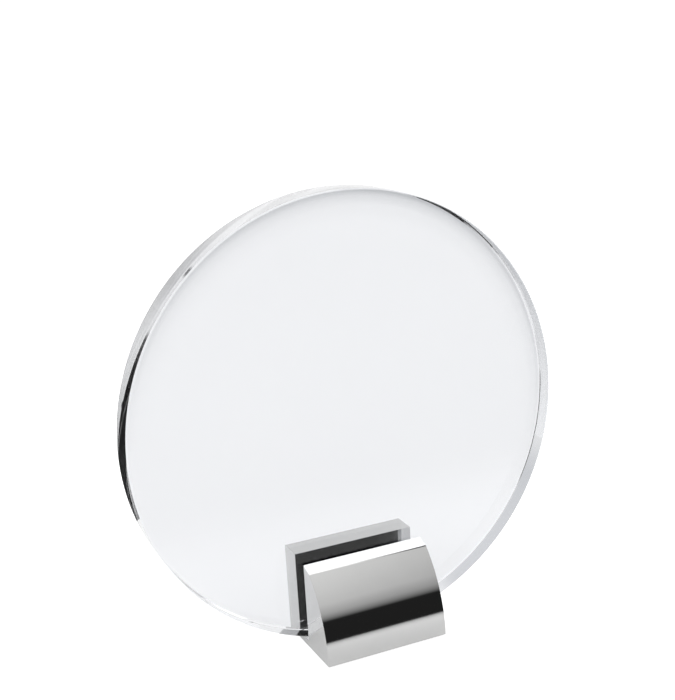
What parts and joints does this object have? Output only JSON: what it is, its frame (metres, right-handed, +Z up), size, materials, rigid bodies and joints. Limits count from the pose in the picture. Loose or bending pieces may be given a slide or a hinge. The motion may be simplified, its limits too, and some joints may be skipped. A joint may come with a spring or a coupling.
{
  "type": "countertop disc stand",
  "caption": "Thick clear round disc standing upright in a small polished chrome clamp base with a curved front jaw and a square rear jaw.",
  "frame": {"origin": "centre of the base's footprint, on the counter under the non-slip pad", "axes": "+Z up, -Y towards the curved front jaw, +X to the right when seen from the front"},
  "size_m": [0.2, 0.0496, 0.2008],
  "materials": {
    "clear_acrylic": "flame polished clear",
    "polished_chrome": "mirror polished",
    "clear_liner": "clear film",
    "black_rubber": "matt",
    "screw_steel": "zinc plated",
    "nylon": "natural"
  },
  "bodies": {
    "base": {"front_jaw": "polished_chrome", "rear_jaw": "polished_chrome", "front_liner": "clear_liner", "floor_liner": "clear_liner", "base_pad": "black_rubber", "joining_screw_left": "screw_steel", "joining_screw_right": "screw_steel"},
    "disc": {"disc": "clear_acrylic"},
    "left_pad": {"pressure_pad_left": "nylon"},
    "left_clamp_screw": {"clamp_screw_left": "screw_steel"},
    "right_pad": {"pressure_pad_right": "nylon"},
    "right_clamp_screw": {"clamp_screw_right": "screw_steel"}
  },
  "joints": [
    {"name": "disc_lift", "type": "slide", "parent": "base", "child": "disc", "axis": [0, 0, 1], "range_m": [0, 0.045]},
    {"name": "left_pad_travel", "type": "slide", "parent": "base", "child": "left_pad", "axis": [0, 1, 0], "range_m": [0, 0.002]},
    {"name": "left_clamp_turn", "type": "hinge", "parent": "left_pad", "child": "left_clamp_screw", "pos_m": [-0.015, 0.02, 0.0225], "axis": [0, 1, 0], "range_deg": [0, 720]},
    {"name": "right_pad_travel", "type": "slide", "parent": "base", "child": "right_pad", "axis": [0, 1, 0], "range_m": [0, 0.002]},
    {"name": "right_clamp_turn", "type": "hinge", "parent": "right_pad", "child": "right_clamp_screw", "pos_m": [0.015, 0.02, 0.0225], "axis": [0, 1, 0], "range_deg": [0, 720]}
  ],
  "couplings": [
    {"joint": "left_clamp_turn", "follows": "left_pad_travel", "rad_per_m": 6283},
    {"joint": "right_clamp_turn", "follows": "right_pad_travel", "rad_per_m": 6283}
  ]
}
